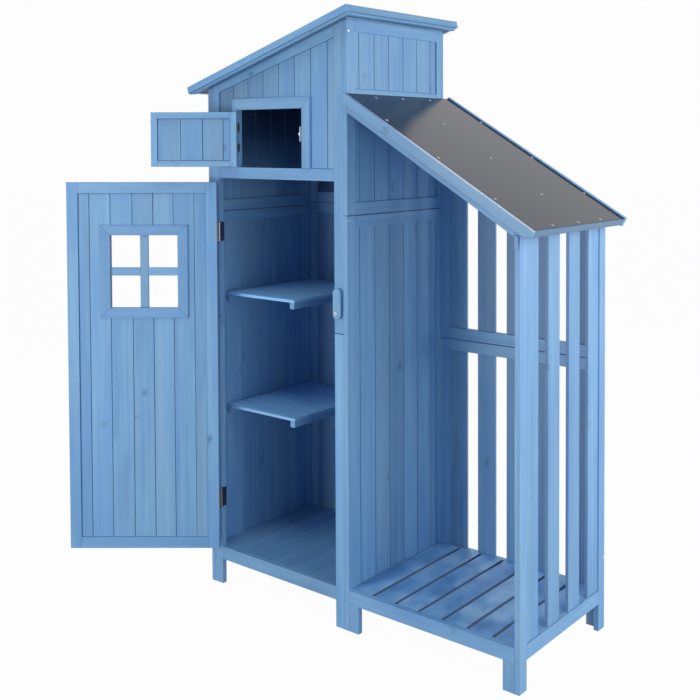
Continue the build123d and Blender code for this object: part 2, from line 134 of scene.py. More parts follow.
class Nodes:
    def __init__(self, holder):
        holder.use_nodes = True
        self.holder = holder
        self.tree = holder.node_tree
        self.shader = self.tree.nodes.get("Principled BSDF")

    def add(self, kind, inputs=None, **settings):
        node = self.tree.nodes.new(kind)
        for key, value in settings.items():
            setattr(node, key, value)
        for key, value in (inputs or {}).items():
            self.plug(value, node.inputs[key])
        return node

    def plug(self, value, socket):
        if isinstance(value, bpy.types.NodeSocket):
            self.tree.links.new(value, socket)
        else:
            socket.default_value = value

    def ramp(self, value, stops):
        node = self.add("ShaderNodeValToRGB", {"Fac": value})
        node.color_ramp.interpolation = "EASE"
        marks = node.color_ramp.elements
        while len(marks) < len(stops):
            marks.new(0.5)
        for mark, (place, shade) in zip(marks, stops):
            mark.position = place
            mark.color = (shade, shade, shade, 1)
        return node.outputs["Color"]

    def mix(self, amount, first, second, blend="MIX"):
        node = self.add("ShaderNodeMix", {0: amount}, data_type="RGBA", blend_type=blend)
        for socket, value in ((node.inputs[6], first), (node.inputs[7], second)):
            self.plug(value if isinstance(value, bpy.types.NodeSocket) else (*value, 1), socket)
        return node.outputs[2]

    def maths(self, operation, first, second=0.0):
        return self.add("ShaderNodeMath", {0: first, 1: second}, operation=operation).outputs[0]

    def bump(self, height, strength, distance):
        node = self.add("ShaderNodeBump",
                        {"Height": height, "Strength": strength, "Distance": distance})
        self.plug(node.outputs["Normal"], self.shader.inputs["Normal"])

    def seenRay(self):
        # 1 where the camera looks straight at it, sees it in metal or through glass
        rays = self.add("ShaderNodeLightPath").outputs
        seen = self.maths("MAXIMUM", rays["Is Camera Ray"], rays["Is Glossy Ray"])
        return self.maths("MAXIMUM", seen, rays["Is Transmission Ray"])


def stainedWood(name, mottle=0):
    n = Nodes(bpy.data.materials.new(name))
    grain = n.add("ShaderNodeAttribute", attribute_name="grain").outputs["Vector"]
    tone = n.add("ShaderNodeAttribute", attribute_name="tone").outputs["Fac"]
    seam = n.add("ShaderNodeAttribute", attribute_name="edge").outputs["Fac"]

    def stretched(*scale):
        return n.add("ShaderNodeMapping", {"Vector": grain, "Scale": scale}).outputs["Vector"]

    def noise(kind):
        *scale, detail = grainNoise[kind]
        place = stretched(*scale)
        return n.add("ShaderNodeTexNoise",
                     {"Vector": place, "Scale": 1, "Detail": detail}).outputs["Fac"]

    fibres, tint = noise("fibres"), noise("tint")
    rings = n.add("ShaderNodeTexWave", {
        "Vector": stretched(*growthRings["stretch"]), "Scale": growthRings["scale"],
        "Distortion": growthRings["bend"], "Detail": growthRings["detail"],
        "Detail Scale": growthRings["detailScale"]}, bands_direction="Z").outputs["Fac"]
    # knots: one in most of the cells, their edge pulled about by the smear
    cells = n.add("ShaderNodeTexVoronoi", {"Vector": stretched(*knotCells["stretch"]), "Scale": 1})
    red = n.add("ShaderNodeSeparateColor", {0: cells.outputs["Color"]}).outputs[0]
    chosen = n.maths("GREATER_THAN", red, knotCells["bare"])
    pull = n.maths("MULTIPLY", n.maths("SUBTRACT", noise("smear"), 0.5), knotCells["ragged"])
    away = n.maths("ADD", cells.outputs["Distance"], pull)
    knots = n.maths("MULTIPLY", n.ramp(away, grainStops["knot"]), chosen)

    colour = n.mix(n.ramp(noise("streaks"), grainStops["pale"]), stain["colour"], stain["pale"])
    ringed = n.maths("MULTIPLY", n.ramp(rings, grainStops["rings"]), growthRings["amount"])
    colour = n.mix(ringed, colour, stain["deep"])
    colour = n.mix(n.ramp(noise("clouds"), grainStops["deep"]), colour, stain["deep"])
    colour = n.mix(n.ramp(tint, grainStops["bluer"]), colour, stain["bluer"])
    colour = n.mix(n.ramp(tint, grainStops["warm"]), colour, stain["warm"])
    if mottle:
        blotches = noise("blotches")
        for kind, (start, end) in mottling.items():
            stops = ((start, 0), (end, mottle)) if kind == "worn" else ((start, mottle), (end, 0))
            colour = n.mix(n.ramp(blotches, stops), colour, stain[kind])
    colour = n.mix(n.maths("MULTIPLY", knots, knotCells["amount"]), colour, stain["knot"])
    light = n.maths("ADD", n.maths("MULTIPLY", tone, stain["toneStep"]), stain["level"])
    light = n.maths("ADD", light, n.maths("MULTIPLY", fibres, stain["fibreStep"]))
    shade = n.add("ShaderNodeCombineColor", {0: light, 1: light, 2: light}).outputs[0]
    colour = n.mix(1.0, colour, shade, "MULTIPLY")
    colour = n.mix(n.maths("MULTIPLY", seam, stain["seamDepth"]), colour, stain["seam"])
    # above 1 the edge value stands for painted shade, near black, inside under the roof
    paintedShadeAmount = n.maths("MAXIMUM", n.maths("SUBTRACT", seam, 1.0), 0.0)
    colour = n.mix(paintedShadeAmount, colour, stain["paintedShadeDark"])
    n.plug(colour, n.shader.inputs["Base Color"])
    n.shader.inputs["Roughness"].default_value = stain["roughness"]
    n.shader.inputs["Specular IOR Level"].default_value = stain["shine"]
    height = n.maths("ADD", fibres, n.maths("MULTIPLY", rings, stain["ringBump"]))
    n.bump(height, stain["grainBump"], stain["bumpDepth"])
    return n.holder


def metal(name, colour, roughness, dents, spread):
    n = Nodes(bpy.data.materials.new(name))
    place = n.add("ShaderNodeTexCoord").outputs["Object"]
    clouds = n.add("ShaderNodeTexNoise", {"Vector": place, "Scale": spread,
                                          "Detail": metalCloud["detail"]}).outputs["Fac"]
    dim = tuple(c * metalCloud["dimmed"] for c in colour)
    n.plug(n.mix(clouds, dim, colour), n.shader.inputs["Base Color"])
    n.shader.inputs["Metallic"].default_value = 1.0
    dull = n.maths("MULTIPLY", clouds, metalCloud["duller"])
    n.plug(n.maths("ADD", dull, roughness), n.shader.inputs["Roughness"])
    n.bump(clouds, dents, metalCloud["bumpDepth"])
    return n.holder


blueWood = stainedWood("blue stained wood")
mottledWood = stainedWood("mottled blue wood", stain["mottle"])
metalFinish = {name: metal(name, *values) for name, values in metals.items()}
print("finishes made")


# timber: each board has its own grain, a tone (0 is even, above it paler) and edge values,
# which are how much of the dark seam colour its faces and arrises take; that colour is
# partly the joints' own darkness, partly painted shade in gaps, on narrow sides and inside
timber = {"arris": 0.9, "thinArris": 0.1, "arrisStep": 0.3, "seam": 0.3, "tones": (-1, 1),
          "darkTone": -1, "grainSpread": 50}


def startPiece():
    mesh = bmesh.new()
    mesh.verts.layers.float_vector.new("grain")
    mesh.verts.layers.float.new("tone")
    mesh.verts.layers.float.new("edge")
    return mesh


def insetOutline(points, amount):
    corners = [Vector(p) for p in points]
    result = []
    for i, corner in enumerate(corners):
        before = (corner - corners[i - 1]).normalized()
        after = (corners[(i + 1) % len(corners)] - corner).normalized()
        inA, inB = Vector((-before.y, before.x)), Vector((-after.y, after.x))
        result.append(corner + (inA + inB) * (amount / (1 + inA.dot(inB))))
    return result


def addTimber(mesh, outline, near, far, place, along=(0, 1), edge=timber["arris"], tone=None,
              seam=timber["seam"], sides=0.0, faces=(0.0, 0.0), shadeClimb=0.0):
    # one board: an outline in (u, v) with softened arrises, from near to far.
    # seam, sides and faces are the edge values of the arrises, the narrow sides and the near
    # and far face; a face that is darkened at all gets shadeClimb more painted shade in its upper
    # half
    layers = mesh.verts.layers
    grain = layers.float_vector["grain"]
    toneLayer, edgeLayer = layers.float["tone"], layers.float["edge"]
    shift = Vector([dice.uniform(0, timber["grainSpread"]) for i in range(3)])
    tone = dice.uniform(*timber["tones"]) if tone is None else tone
    full = toRow @ place
    middle = sum(v for u, v in outline) / len(outline)
    step = edge * timber["arrisStep"]
    shadeClimbs = [shadeClimb if value else 0 for value in faces]
    levels = (  # inset, depth, edge value and what is added to it in the upper half
        (edge, near, faces[0], shadeClimbs[0]), (step, near + step, seam, 0),
        (0, near + edge, sides, 0), (0, far - edge, sides, 0),
        (step, far - step, seam, 0), (edge, far, faces[1], shadeClimbs[1]))
    rings = []
    for inset, deep, dark, higher in levels:
        ring = []
        for u, v in insetOutline(outline, inset):
            vert = mesh.verts.new(full @ Vector((u, deep, v)))
            lengthwise = u * along[0] + v * along[1]
            crosswise = v * along[0] - u * along[1]
            vert[grain] = Vector((lengthwise, deep, crosswise)) * 0.001 + shift
            vert[toneLayer] = tone
            vert[edgeLayer] = dark + (higher if v > middle else 0)
            ring.append(vert)
        rings.append(ring)
    mesh.faces.new(rings[0])
    mesh.faces.new(list(reversed(rings[-1])))
    count = len(outline)
    for a, b in zip(rings, rings[1:]):
        for i in range(count):
            j = (i + 1) % count
            mesh.faces.new((a[i], b[i], b[j], a[j]))


def rectangle(u0, u1, v0, v1):
    return [(u0, v0), (u1, v0), (u1, v1), (u0, v1)]


def upright(u0, u1, low, top):
    # a board on end whose upper edge follows a line
    return [(u0, low), (u1, low), (u1, top(u1)), (u0, top(u0))]


def addBlock(mesh, x0, x1, y0, y1, z0, z1, along="x"):
    # a straight piece given by its box, with its grain along one axis
    if along == "y":
        addTimber(mesh, rectangle(y0, y1, z0, z1), -x1, -x0, across, (1, 0))
    else:
        direction = (1, 0) if along == "x" else (0, 1)
        addTimber(mesh, rectangle(x0, x1, z0, z1), y0, y1, here, direction)


def endPiece(name, mesh, body, *nodes, finish=blueWood, slot="stained_wood"):
    mesh.normal_update()
    data = bpy.data.meshes.new(name)
    mesh.to_mesh(data)
    mesh.free()
    piece = bpy.data.objects.new(name, data)
    bpy.context.collection.objects.link(piece)
    data.materials.append(finish)
    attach(piece, body)
    if nodes:
        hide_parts(*nodes)


# framing: stiles at both sides, a head rail that follows the top, and level rails between
framing = {"stileTones": (0.2, 1), "railTones": (0, 1), "stileSeam": 0.15, "railSeam": 0.5,
           "crackHalf": 2, "crackSide": 1, "crackSunk": 5}


def level(z):
    return lambda u: z


def headFoot(width, top, ends):
    # lower edge of a head rail, from its face widths at both ends
    secant = 1 / math.cos(math.atan((top(width) - top(0)) / width))
    return lambda u: top(u) - secant * (ends[0] + (ends[1] - ends[0]) * u / width)


def addFrame(mesh, width, low, top, rails, place, foot=None, face=stile, head=None):
    foot = low if foot is None else foot
    under = headFoot(width, top, head or (face, face))
    inner = width - face
    slope = math.atan((top(width) - top(0)) / width)
    for a, b in ((0, face), (inner, width)):
        addTimber(mesh, upright(a, b, foot, top), 0, stock, place,
                  tone=dice.uniform(*framing["stileTones"]), seam=framing["stileSeam"])
    headRail = [(face, under(face)), (inner, under(inner)), (inner, top(inner)), (face, top(face))]
    alongHead = (math.cos(slope), math.sin(slope))
    flatRails = [(rectangle(face, inner, z0, z1), (1, 0)) for z0, z1 in rails]
    for outline, along in ((headRail, alongHead), *flatRails):
        addTimber(mesh, outline, 0, stock, place, along,
                  tone=dice.uniform(*framing["railTones"]), seam=framing["railSeam"])


def addCrack(mesh, width, height, place):
    # a dark block inside the joint between two panels: painted shade in the gap
    half, side, sunk = framing["crackHalf"], framing["crackSide"], framing["crackSunk"]
    addTimber(mesh, rectangle(side, width - side, height - half, height + half), sunk,
              stock - sunk, place, (1, 0), edge=timber["thinArris"], tone=timber["darkTone"],
              seam=1, sides=1, faces=(1, 1))


# tongued and grooved boards: bold, soft and faint are how dark their joints look
boards = {"gap": 0.8, "tongue": 1.6, "least": 12, "arris": 0.9, "arrisMore": 0.8, "seamShare": 0.75,
          "bold": (0.85, 1.0), "soft": (0.25, 0.85), "faint": (0.1, 0.4),
          "tongueArris": 0.2, "tongueFaces": (0.6, 0.6)}


def seamsBetween(left, right, first, pitch):
    marks = [left]
    while first < right - boards["least"]:
        if first > left + boards["least"]:
            marks.append(first)
        first += pitch
    return marks + [right]


def boardOutlines(a, b, low, top, hole):
    # a whole board, or what the hole (left, right, low, top) leaves of it
    if not hole or a >= hole[1] or b <= hole[0]:
        return [upright(a, b, low, top)]
    h0, h1, z0, z1 = max(hole[0], a), min(hole[1], b), hole[2], hole[3]
    reachesDown = z0 <= low
    if h0 > a:      # the hole takes the right part of this board
        foot = [(a, low), (h0, low)] if reachesDown else [(a, low), (b, low), (b, z0), (h0, z0)]
        return [[*foot, (h0, z1), (b, z1), (b, top(b)), (a, top(a))]]
    if h1 < b:      # or its left part
        if reachesDown:
            return [[(h1, low), (b, low), (b, top(b)), (a, top(a)), (a, z1), (h1, z1)]]
        return [[*upright(a, b, low, top), (a, z1), (h1, z1), (h1, z0), (a, z0)]]
    below = [] if reachesDown else [rectangle(a, b, low, z0)]
    return [upright(a, b, z1, top), *below]


def addBoards(mesh, seams, low, top, place, hole=None, look="bold", tones=None, faces=(0, 0),
              shadeClimb=0):
    half = boards["gap"] / 2
    for number, (left, right) in enumerate(zip(seams, seams[1:])):
        dark = dice.uniform(*boards[look])
        tone = tones[number] if tones else dice.uniform(*timber["tones"])
        for outline in boardOutlines(left + half, right - half, low, top, hole):
            addTimber(mesh, outline, recess, recess + shed["board"], place, tone=tone,
                      edge=boards["arris"] + boards["arrisMore"] * dark,
                      seam=boards["seamShare"] * dark, sides=dark, faces=faces, shadeClimb=shadeClimb)
    # the tongues, one thin sheet inside the boards, dark with the painted shade of the gaps
    left, right = seams[0], seams[-1]
    fields = [upright(left, right, low, top)]
    if hole:
        h0, h1, z0, z1 = hole
        fields = [upright(left, h0, low, top), upright(h1, right, low, top),
                  upright(h0, h1, z1, top)]
        if z0 > low:
            fields.append(rectangle(h0, h1, low, z0))
    middle = recess + shed["board"] / 2
    half = boards["tongue"] / 2
    for field in fields:
        addTimber(mesh, field, middle - half, middle + half, place, edge=boards["tongueArris"],
                  tone=timber["darkTone"], seam=1, sides=1, faces=boards["tongueFaces"])


# cabinet walls: inside, the boards carry painted shade, which grows towards the roof on the upper
# panels
walls = {"firstSeam": 57, "pitch": 66.8, "backShift": 31, "stripSink": 7,
         "upperShadeBase": -0.1, "shadeClimb": 1.9, "leftInsideShade": 0.12, "rightInsideShade": 0.35,
         "backLowerShade": 0.35, "backUpperShade": 1.1, "backShadeClimb": 0.8}
wallKinds = (  # side, outer face, joint, how bold the board joints look, inner face's darkness
    ("left", innerLeft, shed["leftJoint"], "faint", (walls["leftInsideShade"], 0), (walls["upperShadeBase"], 0)),
    ("right", 0, shed["wallJoint"], "bold", (0, walls["rightInsideShade"]), (0, walls["upperShadeBase"])),
)
wallSeams = seamsBetween(stile, depth - stile, walls["firstSeam"], walls["pitch"])
floorRail = [(floorLow, floorTop)]
for side, rightFace, joint, look, lowerInside, upperInside in wallKinds:
    place = turned(rightFace, 0, 0, 90)
    outer = roofZ(rightFace)
    inner = roofZ(rightFace - stock)
    mesh = startPiece()
    addFrame(mesh, depth, floorLow, level(joint - crack), floorRail, place, 0)
    endPiece(side + "WallLowerFrame", mesh, "shed", side + "_wall_lower_frame")
    mesh = startPiece()
    addBoards(mesh, wallSeams, floorTop, level(joint - stile), place, look=look,
              faces=lowerInside)
    endPiece(side + "WallLowerBoards", mesh, "shed", side + "_wall_lower_boards")
    mesh = startPiece()
    jointTop = joint + shed["jointRail"]
    addFrame(mesh, depth, joint + crack, level(inner), [(joint + crack, jointTop)], place)
    addCrack(mesh, depth, joint, place)
    # the bevel that follows the roof
    wedge = [(rightFace - stock, inner), (rightFace, inner), (rightFace, outer)]
    addTimber(mesh, wedge, 0, depth, here, edge=timber["thinArris"], tone=0)
    fields = [(jointTop, outer - stile)]
    if side == "right":
        # a strip under the store's roof parts the boards
        stripLow = shed["storeUnder"] - walls["stripSink"]
        stripTop = stripLow + stile
        addTimber(mesh, rectangle(stile, depth - stile, stripLow, stripTop), 0, stock, place,
                  (1, 0))
        fields = [(jointTop, stripLow), (stripTop, outer - stile)]
    endPiece(side + "WallUpperFrame", mesh, "shed", side + "_wall_upper_frame")
    mesh = startPiece()
    for low, high in fields:
        addBoards(mesh, wallSeams, low, level(high), place, look=look, faces=upperInside,
                  shadeClimb=walls["shadeClimb"])
    endPiece(side + "WallUpperBoards", mesh, "shed", side + "_wall_upper_boards")


def gableTop(u):
    return roofZ(innerLeft + u)


backPlace = Matrix.Translation((innerLeft, backFace, 0))
backSeams = seamsBetween(stile, backWidth - stile, walls["pitch"] + walls["backShift"],
                         walls["pitch"])
joint, jointTop = shed["wallJoint"], shed["wallJoint"] + shed["jointRail"]
mesh = startPiece()
addFrame(mesh, backWidth, floorLow, level(joint - crack), floorRail, backPlace, 0)
endPiece("backWallLowerFrame", mesh, "shed", "back_wall_lower_frame")
mesh = startPiece()
addBoards(mesh, backSeams, floorTop, level(joint - stile), backPlace, look="faint",
          faces=(walls["backLowerShade"], 0))
endPiece("backWallLowerBoards", mesh, "shed", "back_wall_lower_boards")
mesh = startPiece()
addFrame(mesh, backWidth, joint + crack, gableTop, [(joint + crack, jointTop)], backPlace)
addCrack(mesh, backWidth, joint, backPlace)
endPiece("backWallUpperFrame", mesh, "shed", "back_wall_upper_frame")
mesh = startPiece()
addBoards(mesh, backSeams, jointTop, headFoot(backWidth, gableTop, (stile, stile)), backPlace,
          look="faint", faces=(walls["backUpperShade"], 0), shadeClimb=walls["backShadeClimb"])
endPiece("backWallUpperBoards", mesh, "shed", "back_wall_upper_boards")
print("cabinet walls built")

# cabinet front
# the upper boards' tones fall towards the left, painted shade, and the right stile's raised tone is
# painted light
front = {"seams": (-480, -413.2, -346.4, -279.6, -212.8, -146, -79.2),
         "tones": (-4.6, -3.8, -2.8, -1.4, -0.9, -0.1, 0.5, 0.7), "stileTones": (0.9, 2.6)}
hatch = {
    "fromLeft": 86, "fromRight": 127, "height": 178,
    "trim": 34, "trimLeft": 21, "trimOut": 3, "trimArris": 0.8, "trimSeam": 0.9,
    "lining": 10, "liningDeep": 2, "liningProud": 0.3,
    "stile": 20, "rail": 19, "sideGap": 5, "footGap": 2, "headGap": 7, "open": 147, "pinOut": 3,
    "seams": (-409.6, -345, -276), "tones": (-0.8, -1.5, -0.9, -1.2),
}
hatchLeft = jambLeft + hatch["fromLeft"]
hatchRight = jambRight - hatch["fromRight"]
hatchTop = lintelTop + hatch["height"]
mesh = startPiece()
for left, tone in zip((innerLeft, jambRight), front["stileTones"]):
    addTimber(mesh, rectangle(left, left + stile, 0, shed["frontJoint"] - crack), 0, stock, here,
              tone=tone, seam=framing["stileSeam"])
    addCrack(mesh, stile, shed["frontJoint"], Matrix.Translation((left, 0, 0)))
endPiece("frontLowerStiles", mesh, "shed", "front_stiles")
mesh = startPiece()
addFrame(mesh, backWidth, shed["frontJoint"] + crack, gableTop, [(shed["lintelLow"], lintelTop)],
         Matrix.Translation((innerLeft, 0, 0)), head=shed["gable"])
endPiece("frontUpperFrame", mesh, "shed", "front_upper_frame")
mesh = startPiece()
gableFoot = headFoot(backWidth, gableTop, shed["gable"])
addBoards(mesh, [jambLeft, *front["seams"], jambRight], lintelTop,
          lambda x: gableFoot(x - innerLeft), here, (hatchLeft, hatchRight, lintelTop, hatchTop),
          tones=front["tones"], faces=(0, walls["upperShadeBase"]), shadeClimb=walls["shadeClimb"])
endPiece("frontUpperBoards", mesh, "shed", "front_upper_boards")

# hatch trim: three mitred boards round the opening, then the lining
mesh = startPiece()
outL, outR = hatchLeft - hatch["trimLeft"], hatchRight + hatch["trim"]
outT = hatchTop + hatch["trim"]
for outline, along in (
        ([(hatchLeft, hatchTop), (hatchRight, hatchTop), (outR, outT), (outL, outT)], (1, 0)),
        ([(hatchRight, lintelTop), (outR, lintelTop), (outR, outT), (hatchRight, hatchTop)],
         (0, 1)),
        ([(outL, lintelTop), (hatchLeft, lintelTop), (hatchLeft, hatchTop), (outL, outT)],
         (0, 1))):
    addTimber(mesh, outline, -hatch["trimOut"], recess, here, along, edge=hatch["trimArris"],
              seam=hatch["trimSeam"])
proud = hatch["liningProud"]
behind = hatch["lining"]
for outline, along in (
        (rectangle(hatchLeft - behind, hatchLeft + proud, lintelTop, hatchTop + behind), (0, 1)),
        (rectangle(hatchRight - proud, hatchRight + behind, lintelTop, hatchTop + behind), (0, 1)),
        (rectangle(hatchLeft, hatchRight, hatchTop - proud, hatchTop + behind), (1, 0))):
    addTimber(mesh, outline, recess, stock + hatch["liningDeep"], here, along)
endPiece("hatchSurround", mesh, "shed", "hatch_surround")

# hatch door, standing open
mesh = startPiece()
hatchPlace = swung(hatchLeft + hatch["sideGap"], -hatch["pinOut"], hatch["open"])
leafLeft, leafRight = hatchLeft + hatch["sideGap"], hatchRight - hatch["sideGap"]
leafLow, leafTop = lintelTop + hatch["footGap"], hatchTop - hatch["headGap"]
leafRail = leafLow + hatch["rail"]
addFrame(mesh, leafRight - leafLeft, leafLow, level(leafTop), [(leafLow, leafRail)],
         hatchPlace @ Matrix.Translation((leafLeft, 0, 0)), face=hatch["stile"])
addBoards(mesh, [leafLeft + hatch["stile"], *hatch["seams"], leafRight - hatch["stile"]],
          leafRail, level(leafTop - hatch["stile"]), hatchPlace, look="soft",
          tones=hatch["tones"])
endPiece("hatchDoor", mesh, "shed", "hatch_door")
print("cabinet front built")

# cabinet floor and shelves
# the floor's lowered tone is painted shade inside the cabinet
cabinetFloor = {"board": 12, "boards": 7, "gap": 0.1, "arris": 0.5, "tone": -1.4, "seam": 0.4}
mesh = startPiece()
under = floorTop - cabinetFloor["board"]
addBlock(mesh, jambLeft, jambRight, 0, stock, floorLow, floorTop)
for y in (stock, backFace - stock):
    addBlock(mesh, innerLeft, innerRight, y, y + stock, floorLow, under)
for x in (innerLeft, innerRight - stock):
    addBlock(mesh, x, x + stock, 2 * stock, backFace - stock, floorLow, under, "y")
wide = backWidth / cabinetFloor["boards"]
gap = cabinetFloor["gap"]
for i in range(cabinetFloor["boards"]):
    left = innerLeft + i * wide
    addTimber(mesh, rectangle(left + gap, left + wide - gap, stock, backFace), -floorTop, -under,
              flat, edge=cabinetFloor["arris"], tone=cabinetFloor["tone"],
              seam=cabinetFloor["seam"])
endPiece("cabinetFloor", mesh, "shed", "cabinet_floor")

# the shelves' raised tones are painted light, for their lit tops
shelves = {"share": 0.545, "front": 56, "thick": 9, "batten": 19, "boards": 4, "gap": 0.1,
           "arris": 0.5, "seam": 0.1,
           "levels": (("lower", 562, 4), ("upper", 928, 8.0))}     # name, top and tone
shelfRight = innerLeft + shelves["share"] * backWidth
shelfFront, batten, gap = shelves["front"], shelves["batten"], shelves["gap"]
wide = (backFace - shelfFront) / shelves["boards"]
for name, top, tone in shelves["levels"]:
    under = top - shelves["thick"]
    mesh = startPiece()
    for i in range(shelves["boards"]):
        y = shelfFront + i * wide
        addTimber(mesh, rectangle(innerLeft, shelfRight, y + gap, y + wide - gap), -top, -under,
                  flat, (1, 0), edge=shelves["arris"], seam=shelves["seam"], tone=tone)
    for x in (shelfRight - batten, innerLeft):
        addBlock(mesh, x, x + batten, shelfFront, backFace, under - batten, under, "y")
    endPiece(name + "Shelf", mesh, "shed", "shelf_" + name)
print("floor and shelves built")

# cabinet roof: its deck boards carry painted shade underneath
roof = {"right": 34, "left": 54, "front": 35, "back": 35, "deck": 12, "sheet": 1, "proud": 7,
        "trim": 15, "trimHeight": 21, "trimArris": 1.2, "lath": 8, "lathBack": 4, "lathNip": 6,
        "deckBoards": 6, "deckGap": 0.2, "deckArris": 0.8, "undersideShade": 1.7}
tilt = math.radians(shed["roofPitch"])
roofPlace = turned(0, 0, shed["roofUnder"], -shed["roofPitch"], "Y")
acrossRoof = roofPlace @ across
deck, thick, trimArris = roof["deck"], roof["trim"], roof["trimArris"]
sheetTop = deck + roof["sheet"]
trimTop = sheetTop + roof["proud"]
lowX = (-shed["cabinetWidth"] - roof["left"]) / math.cos(tilt)
highX = roof["right"] / math.cos(tilt)
y0, y1 = -roof["front"], depth + roof["back"]
gap = roof["deckGap"]
mesh = startPiece()
wide = (y1 - y0 - 2 * thick) / roof["deckBoards"]
for i in range(roof["deckBoards"]):
    y = y0 + thick + i * wide
    addTimber(mesh, rectangle(lowX + thick, highX - thick, y + gap, y + wide - gap), -deck, 0,
              roofPlace @ flat, (1, 0), edge=roof["deckArris"], faces=(0, roof["undersideShade"]))
endPiece("mainRoofDeck", mesh, "shed", "main_roof_deck")

mesh = startPiece()
trimLow = trimTop - roof["trimHeight"]
for near in (y0, y1 - thick):
    addTimber(mesh, rectangle(lowX, highX, trimLow, trimTop), near, near + thick, roofPlace,
              (1, 0), edge=trimArris)
for x in (lowX, highX - thick):
    addTimber(mesh, rectangle(y0 + thick, y1 - thick, trimLow, trimTop), -x - thick, -x,
              acrossRoof, (1, 0), edge=trimArris)
# the laths under the front and right trims; the front one is cut level at its low end
lathLow = trimLow - roof["lath"]
lathRight = highX - roof["lathBack"]
nipRun = roof["lathNip"] / math.tan(tilt)
frontLath = [(lowX, lathLow + roof["lathNip"]), (lowX + nipRun, lathLow), (lathRight, lathLow),
             (lathRight, trimLow), (lowX, trimLow)]
addTimber(mesh, frontLath, y0 + roof["lathBack"], y0 + thick, roofPlace, (1, 0))
addTimber(mesh, rectangle(y0 + thick, y1 - thick, lathLow, trimLow), -lathRight, thick - highX,
          acrossRoof, (1, 0))
endPiece("mainRoofTrim", mesh, "shed", "main_roof_trim")
print("cabinet roof built")

# log store roof
storeRoof = {"eave": 41.5, "back": 38, "rake": 27, "rakeNip": 11, "rakeStart": 4, "proud": 4,
             "eaveTrim": 18.5, "eaveShadeTone": -6.2, "deckBoards": 6, "deckGap": 0.2,
             "deckArris": 0.6, "shadowDrop": 0.6, "shadowOut": 0.4, "shadow": 0.9,
             "strip": 0.5, "stripEdges": (2, 0.5)}
storeTilt = math.radians(shed["storePitch"])
secant = 1 / math.cos(storeTilt)
storePlace = turned(0, 0, shed["storeUnder"], shed["storePitch"], "Y")
storeLowX = shed["storeWidth"] + storeRoof["eave"]
storeEnd = storeLowX * secant
storeY1 = depth + storeRoof["back"]
slopeAlong = (math.cos(storeTilt), -math.sin(storeTilt))


def storePoint(x, rise):
    # a point this far square off the roof's underside, in plain X and Z
    return (x + rise * math.sin(storeTilt), storeZ(x) + rise * math.cos(storeTilt))


def storeStrip(x0, low, high, nip=0):
    # cut upright at its upper end, and level at the low corner where nip is given
    inward = nip * math.cos(storeTilt) / storeFall
    foot = [storePoint(storeLowX - inward, low)] if nip else []
    return [(x0, storeZ(x0) + low * secant), *foot, storePoint(storeLowX, low + nip),
            storePoint(storeLowX, high), (x0, storeZ(x0) + high * secant)]


mesh = startPiece()
wide = (storeY1 - thick) / storeRoof["deckBoards"]
deckEnd = storeLowX - thick
deckOutline = [(0, storeZ(0)), storePoint(deckEnd, 0), storePoint(deckEnd, deck),
               (0, storeZ(0) + deck * secant)]
gap = storeRoof["deckGap"]
for i in range(storeRoof["deckBoards"]):
    y = i * wide
    addTimber(mesh, deckOutline, y + gap, y + wide - gap, here, slopeAlong,
              edge=storeRoof["deckArris"])
endPiece("storeRoofDeck", mesh, "shed", "store_roof_deck")

mesh = startPiece()
farTrim = storeY1 - thick
backRakeTop = sheetTop + storeRoof["proud"]
frontRake = storeStrip(-storeRoof["rakeStart"], deck - storeRoof["rake"], deck,
                       storeRoof["rakeNip"])
backRake = storeStrip(0, backRakeTop - storeRoof["rake"], backRakeTop)
addTimber(mesh, frontRake, -thick, 0, here, slopeAlong, edge=trimArris)
addTimber(mesh, backRake, farTrim, storeY1, here, slopeAlong, edge=trimArris)
# the eave trim's lowered tone is painted shade, as it faces down
addTimber(mesh, rectangle(0, farTrim, deck - storeRoof["eaveTrim"], deck), -storeEnd,
          -storeEnd + thick, storePlace @ across, (1, 0), edge=trimArris,
          tone=storeRoof["eaveShadeTone"])
# a painted shadow: a thin dark strip along the far rake, above the sheet
shadow = storeRoof["shadow"]
addTimber(mesh, storeStrip(0, sheetTop, backRakeTop - storeRoof["shadowDrop"]),
          farTrim - storeRoof["shadowOut"], farTrim, here, slopeAlong,
          edge=timber["thinArris"], tone=timber["darkTone"], seam=shadow, sides=shadow,
          faces=(shadow, shadow))
endPiece("storeRoofTrim", mesh, "shed", "store_roof_trim")
mesh = startPiece()
stripNear, stripFar = storeRoof["stripEdges"]
addTimber(mesh, storeStrip(0, deck, deck + storeRoof["strip"]), -thick + stripNear, -stripFar,
          here, slopeAlong, edge=timber["thinArris"])
endPiece("storeRoofEdgeStrip", mesh, "shed", finish=metalFinish["edge strip metal"],
         slot="bright_steel")

# log store walls and floor; the back boards carry painted shade that grows towards the right
store = {"joint": 785, "backBoards": 5, "backBoard": 66, "backTones": (-3, -1), "backShade": 0.14,
         "slats": 4, "slat": 60, "slatThick": 10, "slatSides": 0.6, "arris": 1.2,
         "floorSlats": 7, "floorGap": 9, "floorArris": 1.6, "floorTones": (1.2, 3.0),
         "floorSeam": 0.7, "leg": 36,
         "blockHang": 28, "blockHeight": 35, "blockWidth": 12, "blockOut": 5, "blockInset": 1,
         "blockArris": 2.2, "blockSeam": 0.1}
storeInner = shed["storeWidth"] - stock
sidePlace = turned(shed["storeWidth"], 0, 0, 90)
sideTop = storeZ(shed["storeWidth"])
innerTop = storeZ(storeInner)
mesh = startPiece()
addFrame(mesh, depth, floorLow, level(sideTop), floorRail, sidePlace, 0)
wedge = [(storeInner, sideTop), (shed["storeWidth"], sideTop), (storeInner, innerTop)]
addTimber(mesh, wedge, 0, depth, here, edge=timber["thinArris"], tone=0)
